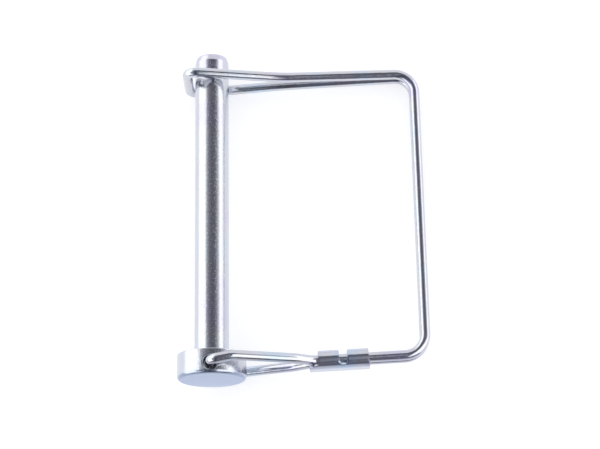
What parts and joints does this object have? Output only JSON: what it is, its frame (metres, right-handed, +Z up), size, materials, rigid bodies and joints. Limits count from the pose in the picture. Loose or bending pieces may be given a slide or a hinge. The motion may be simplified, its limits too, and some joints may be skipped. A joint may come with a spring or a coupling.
{
  "type": "wire lock pin",
  "caption": "Lock pin with a plain shank, cylindrical head and a double spring-wire bail that swings on the head and hooks round the tapered tip, its strands held together by a folded sleeve.",
  "frame": {"origin": "bottom centre of the bounding box, on the surface that the closed pin lies on", "axes": "+Y from the head towards the tip, seen from above, +X from the shank towards the far side of the bail, +Z up from the surface"},
  "size_m": [0.0692, 0.0946, 0.0253],
  "materials": {
    "zinc_plated_pin": "bright zinc plate, blue passivated, over a drawn and turned surface",
    "zinc_plated_wire": "bright zinc plate, blue passivated, over drawn spring wire",
    "zinc_plated_sleeve": "bright zinc plate, blue passivated, over folded sheet"
  },
  "bodies": {
    "pin_body": {"pin": "zinc_plated_pin"},
    "bail_body": {"wire_bail": "zinc_plated_wire", "sleeve": "zinc_plated_sleeve"}
  },
  "joints": [
    {"name": "bail_pivot", "type": "hinge", "parent": "pin_body", "child": "bail_body", "pos_m": [-0.02506, -0.0436, 0.01306], "axis": [-0.1091, -0.0483, -0.9929], "range_deg": [0, 255]}
  ]
}
